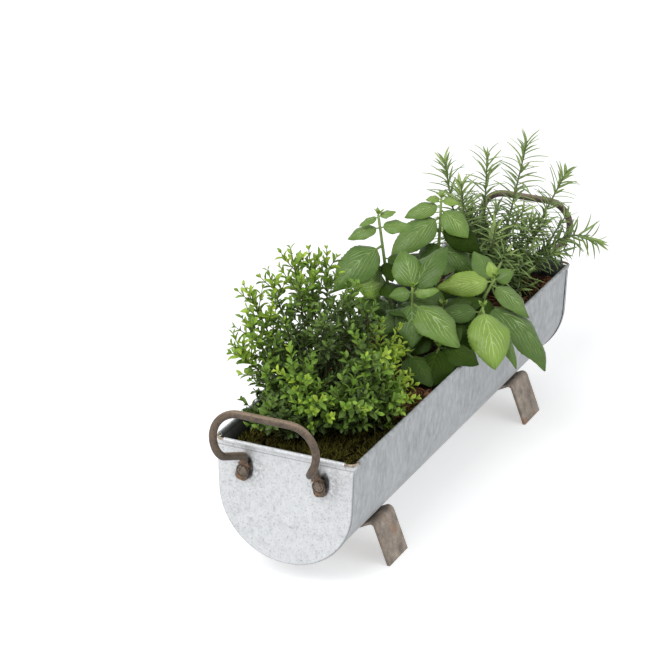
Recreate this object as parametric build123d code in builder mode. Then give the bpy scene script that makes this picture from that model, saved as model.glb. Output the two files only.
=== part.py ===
"""Indoor herb planter: a half-round galvanised trough on two strap legs, planted with three herbs.

Millimetres. X runs along the trough, Z is up, and the origin is on the table under the trough's middle.
The near end of the trough is at -X. Each herb lifts straight up out of its socket.
"""
import math
import os

from build123d import *

# Trough sheet
trough_length = 522.0      # over the outer faces of the two end plates
trough_depth = 110.3       # rim top down to the underside of the sheet
bottom_radius = 63.6       # outside of the half-round bottom
wall_flare = 2.0           # degrees, each long wall from upright
ground_clearance = 23.0    # table to the underside of the sheet
sheet = 0.7                # sheet thickness
plate_bend = 2.4           # outside radius between an end plate and its flange
lap_width = 4.0            # end plate's flange over the outside of the shell
lap_clearance = 0.05       # between flange and shell

# Rim: the sheet's edges rolled over a wire loop
wire_diameter = 2.4
wire_clearance = 0.05
wire_corner_radius = 7.0
corner_notch = 2.0         # bare wire beyond each end of a corner bend
notch_clearance = 0.4      # sheet below the bare wire
bead_step = 0.15           # the rolled edge stands this far out from the wall's inner face
hem_height = 7.0           # folded hem on the top edge of an end plate

# Handles: round rod with flattened ends
rod_diameter = 7.0
handle_centre_y = 3.2      # the handles' rivets sit a little off the middle
handle_sway = -4.4         # and the rod's bends a little to the other side
handle_top_width = 127.0   # between the rod's top corners, before rounding
handle_top_height = 45.5   # middle of the rod's top run above the rim
handle_top_out = 42.0      # and out from the end plate
handle_elbow_width = 85.0  # between the two lower elbows
handle_elbow_out = 42.6
handle_elbow_height = 2.6  # above the rim
handle_shoulder_radius = 25.0
handle_elbow_radius = 12.0
tab_neck_radius = 6.0
tab_neck_straight = 0.8    # round rod between the taper and the neck's bend
tab_neck_width = 66.0      # between the rods where they leave the tabs
tab_neck_drop = 12.3       # below the rim
tab_width = 11.8
tab_thickness = 2.4
tab_end = 9.5              # rivet to the tab's lower end
tab_shoulder = 5.0         # rivet to the start of the taper
tab_corner_radius = 4.0
rod_stand_off = 0.05       # rod to end plate

# Rivets
handle_rivet_spacing = 72.8
handle_rivet_drop = 27.7   # below the rim
rivet_shank = 5.0
rivet_head = 9.4
rivet_head_height = 2.2
rivet_tail_height = 1.2
rivet_clearance = 0.05

# Leg straps
strap_width = 40.0
strap_thickness = 2.5
strap_inset = 95.0         # trough's end to a strap's middle
strap_hug_angle = 28.0     # degrees either side of the bottom line
strap_elbow_inset = 12.6   # upper bend in from the side of the half-round bottom
strap_elbow_radius = 4.2
foot_outset = 3.2          # foot out from the side of the half-round bottom
strap_clearance = 0.05
leg_rivet_angle = 17.0     # degrees either side of the bottom line

# Growing medium and its top dressing
medium_drop = 22.0         # medium's top below the rim
medium_clearance = 0.3
medium_end_gap = 2.5       # room for the rivet tails
mat_thickness = 6.0
moss_reach = 94.0          # moss from the thyme's middle to the seam with the coir
pocket_clearance = 0.6     # round a rivet tail

# Root plugs: tapered blocks, in sockets of the same form
plug_width = 78.0
plug_depth = 52.0
plug_taper = 6.0           # degrees
plug_corner = 12.0
plug_clearance = 0.4
thyme_inset = 89.0         # near end to the plug's middle
thyme_plug_length = 120.0
basil_plug_x = 30.0        # from the trough's middle
basil_plug_length = 150.0
rosemary_inset = 79.0      # far end to the plug's middle
rosemary_plug_length = 84.0

# Thyme: forked sprigs of small leaves
thyme_stem = 2.0           # square
thyme_twig = 1.6
thyme_leaf_length = 12.0
thyme_leaf_width = 7.4
thyme_leaf_belly = 0.55    # widest place along a leaf
thyme_leaf_angle = 52.0    # degrees from the twig
thyme_top_pairs = 4
thyme_stem_bare = 0.55     # share of a main stem below its leaves
thyme_twigs = 3
thyme_twig_angle = 40.0
thyme_twig_length = 20.0
thyme_twig_pairs = 3
thyme_twig_bare = 0.3
thyme_first_fork = 0.46    # share of a main stem below its first twig
thyme_fork_step = 0.11     # from twig to twig
thyme_fan = 0.22           # share of a sprig's spread that its root already has
# Tip of each sprig, from the middle of the plug's top.
thyme_tips = [
    (-34, 66, 135), (4, 40, 161), (44, 24, 149), (67, 62, 105), (-58, 66, 89), (-10, 56, 31),
    (84, -22, 51), (60, -44, 25), (22, -54, 29), (-42, -40, 49), (-66, 2, 73), (-72, 32, 33),
    (52, -18, 99), (-24, -6, 115), (-6, -44, 81), (40, 66, 53), (16, -6, 120), (71, 7, 110),
]

# Rosemary: whips of needles
rosemary_stem = 2.6
needle_length = 20.0
needle_width = 2.2
needle_angle = 48.0        # degrees from the stem
needles_per_sprig = 28
needle_start = 0.34        # share of the stem that is bare
rosemary_fan = 0.3
# Tip of each sprig, from the middle of the plug's top, and how far its middle bows up.
rosemary_sprigs = [
    ((34, -32, 154), 0), ((15, 2, 140), 0), ((78, -59, 113), 0), ((94, -89, 37), 26),
    ((6, 44, 130), 0), ((20, -42, 20), 0), ((60, 8, 71), 6), ((47, 43, 88), 4),
    ((-18, -22, 80), 0), ((-15, 17, 117), 0), ((38, -41, 72), 0),
]

# Basil: upright stems with arched leaves
basil_stem_width = 4.6
leaf_thickness = 1.0
leaf_belly = 0.42          # widest place along a leaf
# Each stem, from the middle of the plug's top: root, tip, and leaves as
# (height above the soil, heading, rise, length, width, arch, roll).
basil_stems = {
    "a": ((-16, 16), (-33, 30, 139), [
        (137, 126, -24, 18, 8, 2, -20), (137, -58, 15, 15, 8, 2, 20), (126, -64, 3, 27, 14, 3, 30),
        (126, 116, -21, 30, 13, 4, -30), (108, 143, -35, 62, 35, 9, -30), (86, 140, -11, 39, 26, 5, -50),
        (95, -70, -15, 30, 18, 3, 25),
    ]),
    "b": ((-26, 0), (-42, -10, 77), [
        (73, 49, 53, 41, 30, 5, -5), (72, -28, 42, 54, 37, 6, 15), (71, -80, 12, 26, 14, 3, 50),
        (72, 134, -4, 23, 14, 2, -45), (62, -155, -44, 47, 31, 6, 0), (59, -100, -30, 62, 44, 9, 20),
        (55, 146, -31, 40, 21, 5, -25),
    ]),
    "c": ((34, -29), (65, -50, 55), [
        (52, 125, -3, 55, 26, 6, -55), (52, 73, 44, 35, 26, 3, -25), (54, 64, 61, 18, 13, 2, -10),
        (53, -55, 22, 21, 16, 2, 45), (49, -89, -35, 48, 26, 7, 25), (31, -92, -38, 89, 40, 18, 10),
    ]),
    "d": ((16, -38), (11, -60, 47), [
        (45, -140, -45, 62, 41, 9, 5), (40, -104, -46, 63, 15, 11, 15), (33, 164, -52, 32, 19, 3, -20),
        (41, 123, -2, 42, 20, 4, -40),
    ]),
    "e": ((58, 8), (80, 14, 121), [
        (120, 116, -2, 15, 9, 2, -30), (119, -69, -9, 18, 10, 2, 30), (110, -93, -38, 38, 26, 5, 30),
        (96, -77, -32, 48, 28, 6, 40), (103, 140, -32, 62, 30, 7, -35), (114, 123, -17, 37, 17, 4, -35),
        (75, -88, -34, 44, 25, 5, 30), (79, 146, -37, 30, 20, 3, -30),
        (60, -150, 5, 44, 28, 5, -10),
    ]),
    "f": ((-28, -24), (-50, -42, 26), [
        (25, -95, -10, 36, 28, 4, 15), (20, -30, 30, 32, 22, 4, 25),
    ]),
    "g": ((-50, -8), (-66, -18, 21), [
        (20, -128, -20, 46, 34, 6, 10), (20, 95, 10, 26, 19, 3, -30),
    ]),
    "h": ((0, -12), (8, -20, 42), [
        (40, -100, -20, 34, 20, 4, 20), (41, -160, -25, 40, 24, 4, 0),
        (42, 100, 10, 38, 24, 4, -30), (38, -45, 8, 32, 20, 3, 20),
    ]),
}

golden_angle = 137.5

# Heights and places that follow from the sizes above
flare = math.radians(wall_flare)
arc_centre_z = ground_clearance + bottom_radius
rim_top = ground_clearance + trough_depth
bead_radius = wire_diameter / 2 + wire_clearance + sheet
bead_bore = wire_diameter / 2 + wire_clearance
bead_z = rim_top - bead_radius
notch_z = bead_z - wire_diameter / 2 - notch_clearance
end_x = trough_length / 2
shell_end_x = end_x - plate_bend - lap_clearance
medium_top = rim_top - medium_drop
soil_top = medium_top + mat_thickness
strap_x = end_x - strap_inset
strap_elbow_y = bottom_radius - strap_elbow_inset
foot_y = bottom_radius + foot_outset
thyme_root = Vector(-end_x + thyme_inset, 0, soil_top)
basil_root = Vector(basil_plug_x, 0, soil_top)
rosemary_root = Vector(end_x - rosemary_inset, 0, soil_top)


def half_width(extra, z):
    """Half the trough's width at height z, for the shell's outside grown outwards by extra."""
    return (bottom_radius + extra + (z - arc_centre_z) * math.sin(flare)) / math.cos(flare)


wall_inside = half_width(-sheet, bead_z)
bead_y = wall_inside + bead_step + bead_radius
bead_x = end_x - sheet + bead_step + bead_radius
bead_half_length = bead_x - wire_corner_radius - corner_notch
hem_half_width = bead_y - wire_corner_radius - corner_notch

os.makedirs("parts", exist_ok=True)


def keep(part, name):
    """Names a finished piece and writes it out."""
    part.label = name
    export_step(part, f"parts/{name}.step")


def trough_section(extra, top, x=0.0):
    """The trough's cross-section at x, grown outwards by extra and closed flat at the height top."""
    radius = bottom_radius + extra
    side_y = radius * math.cos(flare)
    side_z = arc_centre_z - radius * math.sin(flare)
    top_y = half_width(extra, top)
    with BuildSketch(Plane.YZ.offset(x)) as section:
        with BuildLine():
            Polyline((-side_y, side_z), (-top_y, top), (top_y, top), (side_y, side_z))
            ThreePointArc((side_y, side_z), (0, arc_centre_z - radius), (-side_y, side_z))
        make_face()
    return section.sketch


def bottom_plane(x, angle, radius):
    """A plane square to the round bottom, facing outwards, at an angle from the bottom line."""
    out_y = math.sin(math.radians(angle))
    out_z = -math.cos(math.radians(angle))
    return Plane((x, radius * out_y, arc_centre_z + radius * out_z), x_dir=(1, 0, 0), z_dir=(0, out_y, out_z))


def rivet(grip):
    """A rivet along Z: domed head above 0, shank through the grip, flat tail below it."""
    shank = rivet_shank / 2
    head = rivet_head / 2
    with BuildPart() as one:
        with BuildSketch(Plane.XZ):
            with BuildLine():
                TangentArc((0, rivet_head_height), (head, 0), tangent=(1, 0))
                Polyline(
                    (head, 0), (shank, 0), (shank, -grip), (head, -grip),
                    (head, -grip - rivet_tail_height), (0, -grip - rivet_tail_height), (0, rivet_head_height),
                )
            make_face()
        revolve(axis=Axis.Z)
    return one.part


# The end plates carry the handles, so the places of rivets and tabs are shared by both.
rivet_z = rim_top - handle_rivet_drop
neck_z = rim_top - tab_neck_drop
tab_lean = math.atan2((handle_rivet_spacing - tab_neck_width) / 2, handle_rivet_drop - tab_neck_drop)
tab_run = math.hypot((handle_rivet_spacing - tab_neck_width) / 2, handle_rivet_drop - tab_neck_drop)
rivet_hole = rivet_shank / 2 + rivet_clearance


def rivet_places(out):
    """The two handle rivets of the near end, at a distance out from the plate's outer face."""
    return [
        Plane((-end_x - out, handle_centre_y + side * handle_rivet_spacing / 2, rivet_z), z_dir=(-1, 0, 0))
        for side in (1, -1)
    ]


# Trough shell: one bent sheet with its long edges rolled over the wire
leg_rivet_places = [
    bottom_plane(x, angle, bottom_radius + strap_clearance + strap_thickness)
    for x in (-strap_x, strap_x)
    for angle in (leg_rivet_angle, -leg_rivet_angle)
]
with BuildPart() as trough_shell:
    extrude(trough_section(0, notch_z), amount=shell_end_x, both=True)
    extrude(trough_section(0, bead_z), amount=bead_half_length, both=True)
    extrude(trough_section(-sheet, rim_top), amount=end_x, both=True, mode=Mode.SUBTRACT)
    with BuildSketch(Plane.YZ):
        with Locations((bead_y, bead_z), (-bead_y, bead_z)):
            Circle(bead_radius)
    extrude(amount=bead_half_length, both=True)
    with BuildSketch(Plane.YZ):
        with Locations((bead_y, bead_z), (-bead_y, bead_z)):
            Circle(bead_bore)
    extrude(amount=end_x, both=True, mode=Mode.SUBTRACT)
    with BuildSketch(*leg_rivet_places):
        Circle(rivet_hole)
    extrude(amount=-strap_thickness - 4 * sheet, mode=Mode.SUBTRACT)
keep(trough_shell.part, "trough_shell")


def plate_block(extra, x, length, bend):
    """A block of the trough's section from x on, its edge at x rounded except along the flat top."""
    with BuildPart() as block:
        extrude(trough_section(extra, notch_z, x), amount=length)
        rounded = block.edges().filter_by_position(Axis.X, x, x).sort_by(Axis.Z)[:-1]
        fillet(rounded, bend)
    return block.part


# End plate: flat D with a flange lapped over the shell and its top edge hemmed over the wire
lap_inside = lap_clearance
lap_outside = lap_clearance + sheet
with BuildPart() as end_plate_near:
    add(plate_block(lap_outside, -end_x, plate_bend + lap_width, plate_bend))
    add(plate_block(lap_inside, -end_x + sheet, 2 * lap_width, plate_bend - sheet), mode=Mode.SUBTRACT)
    with BuildSketch(Plane.YZ.offset(-end_x)):
        with Locations((0, notch_z)):
            Rectangle(2 * hem_half_width, bead_z - notch_z, align=(Align.CENTER, Align.MIN))
    extrude(amount=sheet)
    with BuildSketch(Plane.YZ.offset(-end_x)):
        with Locations((0, rim_top - hem_height)):
            Rectangle(
                2 * hem_half_width, hem_height - bead_radius - bead_bore, align=(Align.CENTER, Align.MIN)
            )
    extrude(amount=-sheet)
    with BuildSketch(Plane.XZ):
        with Locations((-bead_x, bead_z)):
            Circle(bead_radius)
    extrude(amount=hem_half_width, both=True)
    with BuildSketch(Plane.XZ):
        with Locations((-bead_x, bead_z)):
            Circle(bead_bore)
    extrude(amount=bead_y, both=True, mode=Mode.SUBTRACT)
    with BuildSketch(*rivet_places(0)):
        Circle(rivet_hole)
    extrude(amount=sheet, both=True, mode=Mode.SUBTRACT)
with BuildPart() as end_plate_far:
    mirror(end_plate_near.part, about=Plane.YZ)
keep(end_plate_near.part, "end_plate_near")
keep(end_plate_far.part, "end_plate_far")

# Rim wire: one loop through the rolled edges and the hems
with BuildPart() as rim_wire:
    with BuildLine(Plane.XY.offset(bead_z)) as loop:
        FilletPolyline(
            (-bead_x, -bead_y), (bead_x, -bead_y), (bead_x, bead_y), (-bead_x, bead_y),
            radius=wire_corner_radius, close=True,
        )
    with BuildSketch(Plane(loop.line @ 0, z_dir=loop.line % 0)):
        Circle(wire_diameter / 2)
    sweep()
keep(rim_wire.part, "rim_wire")

# Handle: flattened tab, tapered neck and bent rod, made half by half
rod_radius = rod_diameter / 2
tab_up = Vector(0, -math.sin(tab_lean), math.cos(tab_lean))
tab_across = tab_up.cross(Vector(-1, 0, 0))
rivet_point = Vector(-end_x, handle_rivet_spacing / 2, rivet_z)
rod_x = -end_x - rod_radius - rod_stand_off
neck_corner = Vector(rod_x, tab_neck_width / 2, neck_z)
taper_start = rivet_point + tab_up * tab_shoulder + Vector(-tab_thickness / 2, 0, 0)


def handle_half(sway):
    """Tab and rod at +Y as far as the middle of the top run, with the rod's bends moved along Y by sway."""
    elbow = Vector(-end_x - handle_elbow_out, sway + handle_elbow_width / 2, rim_top + handle_elbow_height)
    shoulder = Vector(-end_x - handle_top_out, sway + handle_top_width / 2, rim_top + handle_top_height)
    top_middle = Vector(shoulder.X, sway, shoulder.Z)
    neck_turn = math.radians(tab_up.get_angle(elbow - neck_corner))
    neck_start = neck_corner - tab_up * (tab_neck_radius * math.tan(neck_turn / 2) + tab_neck_straight)
    with BuildPart() as half:
        with BuildLine() as rod_path:
            FilletPolyline(
                neck_start, neck_corner, elbow, shoulder, top_middle,
                radius=[tab_neck_radius, handle_elbow_radius, handle_shoulder_radius],
            )
        with BuildSketch(Plane(neck_start, x_dir=tab_across, z_dir=tab_up)):
            Circle(rod_radius)
        sweep(path=rod_path.wires()[0])
        with BuildSketch(Plane(taper_start, x_dir=tab_across, z_dir=tab_up)):
            Rectangle(tab_width, tab_thickness)
        with BuildSketch(Plane(neck_start, x_dir=tab_across, z_dir=tab_up)):
            Circle(rod_radius)
        loft()
        with BuildSketch(Plane(rivet_point, x_dir=tab_across, z_dir=(-1, 0, 0))) as tab:
            with Locations((0, -tab_end)):
                Rectangle(tab_width, tab_end + tab_shoulder, align=(Align.CENTER, Align.MIN))
            fillet(tab.vertices().group_by(Axis.Z)[0], tab_corner_radius)
            Circle(rivet_hole, mode=Mode.SUBTRACT)
        extrude(amount=tab_thickness)
    return half.part


with BuildPart() as handle_near:
    with Locations((0, handle_centre_y, 0)):
        add(handle_half(handle_sway))
        add(handle_half(-handle_sway).mirror(Plane.XZ))
with BuildPart() as handle_far:
    mirror(handle_near.part, about=Plane.YZ)
keep(handle_near.part, "handle_near")
keep(handle_far.part, "handle_far")

# Rivets of the handles: dome on the tab, flat tail inside the plate
with BuildPart() as handle_rivets_near:
    with Locations(*[place.location for place in rivet_places(tab_thickness)]):
        add(rivet(tab_thickness + sheet))
with BuildPart() as handle_rivets_far:
    mirror(handle_rivets_near.part, about=Plane.YZ)
keep(handle_rivets_near.part, "handle_rivets_near")
keep(handle_rivets_far.part, "handle_rivets_far")

# Leg strap: flat bar that cradles the bottom, leaves it on a tangent and bends down to the table
hug = math.radians(strap_hug_angle)
hug_radius = bottom_radius + strap_clearance + strap_thickness / 2
leave_y = hug_radius * math.sin(hug)
leave_z = arc_centre_z - hug_radius * math.cos(hug)
strap_elbow_z = leave_z + (strap_elbow_y - leave_y) * math.tan(hug)
leg_slope = (foot_y - strap_elbow_y) / strap_elbow_z
below_table = 2 * strap_thickness
with BuildPart() as leg_strap_near:
    with BuildSketch(Plane.YZ.offset(-strap_x)):
        with BuildLine() as strap_line:
            ThreePointArc(
                (0, arc_centre_z - hug_radius),
                (hug_radius * math.sin(hug / 2), arc_centre_z - hug_radius * math.cos(hug / 2)),
                (leave_y, leave_z),
            )
            FilletPolyline(
                (leave_y, leave_z),
                (strap_elbow_y, strap_elbow_z),
                (foot_y + below_table * leg_slope, -below_table),
                radius=strap_elbow_radius,
            )
        trace(line_width=strap_thickness)
        mirror(about=Plane.YZ)
    extrude(amount=strap_width / 2, both=True)
    split(bisect_by=Plane.XY, keep=Keep.TOP)
    with BuildSketch(*leg_rivet_places[:2]):
        Circle(rivet_hole)
    extrude(amount=2 * strap_thickness, both=True, mode=Mode.SUBTRACT)
with BuildPart() as leg_strap_far:
    mirror(leg_strap_near.part, about=Plane.YZ)
keep(leg_strap_near.part, "leg_strap_near")
keep(leg_strap_far.part, "leg_strap_far")

# Rivets of the leg straps: the flat tail clears the hollow of the sheet by the hollow's own depth
shell_inside = bottom_radius - sheet
tail_hollow = shell_inside - math.sqrt(shell_inside ** 2 - (rivet_head / 2) ** 2)
leg_rivet_grip = strap_thickness + strap_clearance + sheet + tail_hollow + rivet_clearance
with BuildPart() as leg_rivets_near:
    with Locations(*[place.location for place in leg_rivet_places[:2]]):
        add(rivet(leg_rivet_grip))
with BuildPart() as leg_rivets_far:
    mirror(leg_rivets_near.part, about=Plane.YZ)
keep(leg_rivets_near.part, "leg_rivets_near")
keep(leg_rivets_far.part, "leg_rivets_far")

# Growing medium and top dressing, with one socket for each herb
plugs = {
    "thyme": (thyme_root.X, thyme_plug_length),
    "basil": (basil_root.X, basil_plug_length),
    "rosemary": (rosemary_root.X, rosemary_plug_length),
}


def plug_block(x, length, grow):
    """A root plug, tapered downwards from the soil's top and grown by a clearance on every side."""
    with BuildPart() as block:
        with BuildSketch(Plane.XY.offset(soil_top)):
            with Locations((x, 0)):
                RectangleRounded(length + 2 * grow, plug_width + 2 * grow, plug_corner + grow)
        extrude(amount=-plug_depth - grow, taper=plug_taper)
    return block.part


medium_half = end_x - sheet - medium_end_gap
medium_inset = -sheet - medium_clearance
with BuildPart() as growing_medium:
    extrude(trough_section(medium_inset, medium_top), amount=medium_half, both=True)
    for plug_x, plug_length in plugs.values():
        add(plug_block(plug_x, plug_length, plug_clearance), mode=Mode.SUBTRACT)
    with BuildSketch(*leg_rivet_places):
        Circle(rivet_head / 2 + pocket_clearance)
    extrude(amount=-leg_rivet_grip - rivet_tail_height - pocket_clearance, mode=Mode.SUBTRACT)
keep(growing_medium.part, "growing_medium")

mat_seam_x = thyme_root.X + moss_reach
mats = {"moss_mat": (-medium_half, mat_seam_x), "coir_mat": (mat_seam_x, medium_half)}
for name, (start_x, stop_x) in mats.items():
    with BuildPart() as mat:
        extrude(trough_section(medium_inset, soil_top, start_x), amount=stop_x - start_x)
        split(bisect_by=Plane.XY.offset(medium_top), keep=Keep.TOP)
        for plug_x, plug_length in plugs.values():
            add(plug_block(plug_x, plug_length, plug_clearance), mode=Mode.SUBTRACT)
    keep(mat.part, name)

for name, (plug_x, plug_length) in plugs.items():
    keep(plug_block(plug_x, plug_length, 0), f"{name}_root_plug")


def stem_between(start, end, width):
    """A square stem from start to end, cut off level where it would run below the soil."""
    run = end - start
    with BuildPart() as stem:
        with BuildSketch(Plane(start, z_dir=run)):
            Rectangle(width, width)
        extrude(amount=run.length)
        split(bisect_by=Plane.XY.offset(soil_top), keep=Keep.TOP)
    return stem.part


def leaf_plane(point, axis, turn, lean):
    """A leaf's plane: it starts at point, turned round the axis and leaning out from it by lean degrees."""
    ring = Plane(point, z_dir=axis)
    around = math.radians(turn)
    out = ring.x_dir * math.cos(around) + ring.y_dir * math.sin(around)
    along = axis.normalized()
    lean_out = math.radians(lean)
    blade = along * math.cos(lean_out) + out * math.sin(lean_out)
    return Plane(point, x_dir=blade, z_dir=along * math.sin(lean_out) - out * math.cos(lean_out))


def paired_leaves(start, end, first, pairs):
    """Planes of opposite leaves along a twig, from the share first to its tip, each pair crossed."""
    run = end - start
    planes = []
    for pair in range(pairs):
        point = start + run * (first + (1 - first) * (pair + 0.5) / pairs)
        for side in (0, 180):
            planes.append(leaf_plane(point, run, 90 * pair + side, thyme_leaf_angle))
    return planes


# Thyme: each sprig has a main stem and a few side twigs, all set with opposite leaves
for number, (tip_x, tip_y, tip_z) in enumerate(thyme_tips, start=1):
    top = thyme_root + Vector(tip_x, tip_y, tip_z)
    foot = thyme_root + Vector(tip_x, tip_y, 0) * thyme_fan
    run = top - foot
    ring = Plane(foot, z_dir=run)
    stems = [(foot - run.normalized() * thyme_stem, top, thyme_stem)]
    leaf_planes = paired_leaves(foot, top, thyme_stem_bare, thyme_top_pairs)
    for twig in range(thyme_twigs):
        around = math.radians(golden_angle * number + 360 * twig / thyme_twigs)
        out = ring.x_dir * math.cos(around) + ring.y_dir * math.sin(around)
        lean_out = math.radians(thyme_twig_angle)
        fork = foot + run * (thyme_first_fork + thyme_fork_step * twig)
        heading = run.normalized() * math.cos(lean_out) + out * math.sin(lean_out)
        twig_end = fork + heading * thyme_twig_length
        stems.append((fork, twig_end, thyme_twig))
        leaf_planes += paired_leaves(fork, twig_end, thyme_twig_bare, thyme_twig_pairs)
    with BuildPart() as thyme_sprig:
        with BuildSketch(*leaf_planes):
            Polygon(
                (0, 0), (thyme_leaf_belly * thyme_leaf_length, -thyme_leaf_width / 2), (thyme_leaf_length, 0),
                (thyme_leaf_belly * thyme_leaf_length, thyme_leaf_width / 2), align=None,
            )
        extrude(amount=leaf_thickness / 2, both=True)
        add([stem_between(*stem) for stem in stems])
        split(bisect_by=Plane.XY.offset(soil_top), keep=Keep.TOP)
    keep(thyme_sprig.part, f"thyme_sprig_{number:02d}")

# Rosemary: whips with needles turned round the stem by the golden angle
for number, ((tip_x, tip_y, tip_z), bow) in enumerate(rosemary_sprigs, start=1):
    top = rosemary_root + Vector(tip_x, tip_y, tip_z)
    foot = rosemary_root + Vector(tip_x, tip_y, 0) * rosemary_fan
    middle = (foot + top) * 0.5 + Vector(0, 0, bow)
    leaf_planes = []
    for needle in range(needles_per_sprig):
        share = needle_start + (1 - needle_start) * (needle + 0.5) / needles_per_sprig
        lower = share < 0.5
        start, end = (foot, middle) if lower else (middle, top)
        point = start + (end - start) * (2 * share if lower else 2 * share - 1)
        leaf_planes.append(leaf_plane(point, end - start, golden_angle * needle, needle_angle))
    with BuildPart() as rosemary_sprig:
        with BuildSketch(*leaf_planes):
            Polygon((0, -needle_width / 2), (needle_length, 0), (0, needle_width / 2), align=None)
        extrude(amount=leaf_thickness / 2, both=True)
        down = (foot - middle).normalized() * rosemary_stem
        add([stem_between(foot + down, middle, rosemary_stem), stem_between(middle, top, rosemary_stem)])
        split(bisect_by=Plane.XY.offset(soil_top), keep=Keep.TOP)
    keep(rosemary_sprig.part, f"rosemary_sprig_{number:02d}")


def basil_leaf(base, heading, rise, length, width, arch, roll):
    """One arched leaf from its base: pointed at both ends, widest before the middle, rolled about its rib."""
    turn = math.radians(heading)
    lift = math.radians(rise)
    ahead = Vector(math.cos(lift) * math.cos(turn), math.cos(lift) * math.sin(turn), math.sin(lift))
    side = Vector(-math.sin(turn), math.cos(turn), 0).rotate(Axis((0, 0, 0), ahead), roll)
    half = leaf_thickness / 2
    with BuildPart() as blade:
        with BuildSketch(Plane(base, x_dir=ahead, z_dir=ahead.cross(side))):
            with BuildLine():
                ThreePointArc((0, 0), (leaf_belly * length, width / 2), (length, 0))
                ThreePointArc((length, 0), (leaf_belly * length, -width / 2), (0, 0))
            make_face()
        extrude(amount=arch + leaf_thickness, both=True)
        with BuildSketch(Plane(base, x_dir=ahead, z_dir=side * -1)):
            with BuildLine():
                ThreePointArc((0, half), (length / 2, arch + half), (length, half))
                Line((length, half), (length, -half))
                ThreePointArc((length, -half), (length / 2, arch - half), (0, -half))
                Line((0, -half), (0, half))
            make_face()
        extrude(amount=width, both=True, mode=Mode.INTERSECT)
    return blade.part


# Basil: each stem with its leaves
for name, (root, tip, leaves) in basil_stems.items():
    foot = basil_root + Vector(*root, 0)
    top = basil_root + Vector(*tip)
    run = top - foot
    with BuildPart() as basil_stem:
        add(stem_between(foot - run.normalized() * basil_stem_width, top, basil_stem_width))
        for height, *blade in leaves:
            add(basil_leaf(foot + run * (height / run.Z), *blade))
    keep(basil_stem.part, f"basil_stem_{name}")
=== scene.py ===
"""Looks of the indoor herb planter: galvanised trough, rusted fittings, thyme, basil and rosemary.

Metres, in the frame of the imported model: X along the trough, -Y its front long side, Z up from the table.
"""

import math

import bpy
import numpy as np
from mathutils import Matrix, Vector


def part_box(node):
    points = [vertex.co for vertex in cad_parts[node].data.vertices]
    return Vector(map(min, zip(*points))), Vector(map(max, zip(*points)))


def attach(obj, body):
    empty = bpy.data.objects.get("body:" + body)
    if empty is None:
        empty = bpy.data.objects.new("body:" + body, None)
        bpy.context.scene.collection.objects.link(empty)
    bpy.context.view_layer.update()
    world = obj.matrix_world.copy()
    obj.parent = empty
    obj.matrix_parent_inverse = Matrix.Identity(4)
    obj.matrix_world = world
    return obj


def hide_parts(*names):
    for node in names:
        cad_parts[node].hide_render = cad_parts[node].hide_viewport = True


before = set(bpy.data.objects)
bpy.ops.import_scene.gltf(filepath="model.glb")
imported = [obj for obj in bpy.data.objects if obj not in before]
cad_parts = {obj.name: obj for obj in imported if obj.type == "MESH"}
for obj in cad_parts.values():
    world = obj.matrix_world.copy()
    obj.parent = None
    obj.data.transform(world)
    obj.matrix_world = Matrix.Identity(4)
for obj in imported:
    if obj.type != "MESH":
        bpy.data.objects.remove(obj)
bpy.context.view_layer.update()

MM = 0.001
random = np.random.default_rng(11)
GOLDEN = math.radians(137.5)  # from one twig to the next round a stem
ANY_TURN = 6.28  # about a full turn, for random headings
BLADE, STALK = 0, 1  # places of a piece's materials

# Camera, as the photograph was taken
IMAGE_SIZE = 645
CAMERA_TARGET = Vector((-0.0348, 0.0711, 0.1527))
CAMERA_DISTANCE = 2.484
CAMERA_AZIMUTH = -64.94
CAMERA_ELEVATION = 22.85
CAMERA_ROLL = 0.55
FOCAL_PIXELS = 2651.9
SENSOR = 36.0

# Places in the planter, read off the frame
soil_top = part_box("moss_mat")[1].z
rim_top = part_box("trough_shell")[1].z
inside_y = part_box("moss_mat")[1].y
plate_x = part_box("handle_far")[0].x
HEM_HEIGHT = 7.0 * MM  # of the end plates, below the rim
STEM_SINK = 2.0 * MM  # of each stem's foot, below the soil


def root_of(herb):
    """The middle of a herb's root plug, on the soil."""
    low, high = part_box(f"{herb}_root_plug")
    return np.array([(low.x + high.x) / 2, 0.0, soil_top])


# Thyme: tip of each sprig from the middle of the plug's top, in millimetres
thyme_tips = [
    (-34, 66, 135), (4, 40, 161), (44, 24, 149), (67, 62, 105), (-58, 66, 89), (-10, 56, 31),
    (84, -22, 51), (60, -44, 25), (22, -54, 29), (-42, -40, 49), (-66, 2, 73), (-72, 32, 33),
    (52, -18, 99), (-24, -6, 115), (-6, -44, 81), (40, 66, 53), (16, -6, 120), (71, 7, 110),
]
# How bright each sprig's outer leaves are: partly the sprig's own tone, partly painted light and shade
thyme_shine = [
    0.8, 0.85, 0.85, 0.45, 0.8, 0.4, 1.2, 1.1, 0.95,
    0.9, 1.0, 0.4, 0.65, 0.55, 1.05, 0.35, 0.55, 0.65,
]
# Second branches of some sprigs, by the sprig's number: tip, and brightness
thyme_forks = {
    1: ((-15, 53, 145), 0.75), 2: ((24, 32, 154), 0.8), 5: ((-46, 62, 110), 0.75),
    10: ((-20, -38, 34), 0.9), 11: ((-66, -12, 54), 1.2),
}
THYME_FAN = 0.22  # how far out a sprig's foot stands, as a share of its tip
THYME_TALL = 85.0  # tips above this height make tall sprigs, in millimetres
TALL_LEAF_WIDTH = 0.44  # as a share of the leaf's length
LOW_LEAF_WIDTH = 0.54
TALL_TWIG_TAPER = 0.55  # how much shorter the twigs are towards the tip
LOW_TWIG_TAPER = 0.3
THYME_LEAF = 10.4 * MM
THYME_TWIGS = 16
THYME_TWIG_LIFT = 6 * MM  # of the lowest twigs' tips, above the soil
THYME_REACH = np.array([85.0, 66.0, 150.0]) * MM  # of the bush from its root; leaves there get the most painted light
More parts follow.
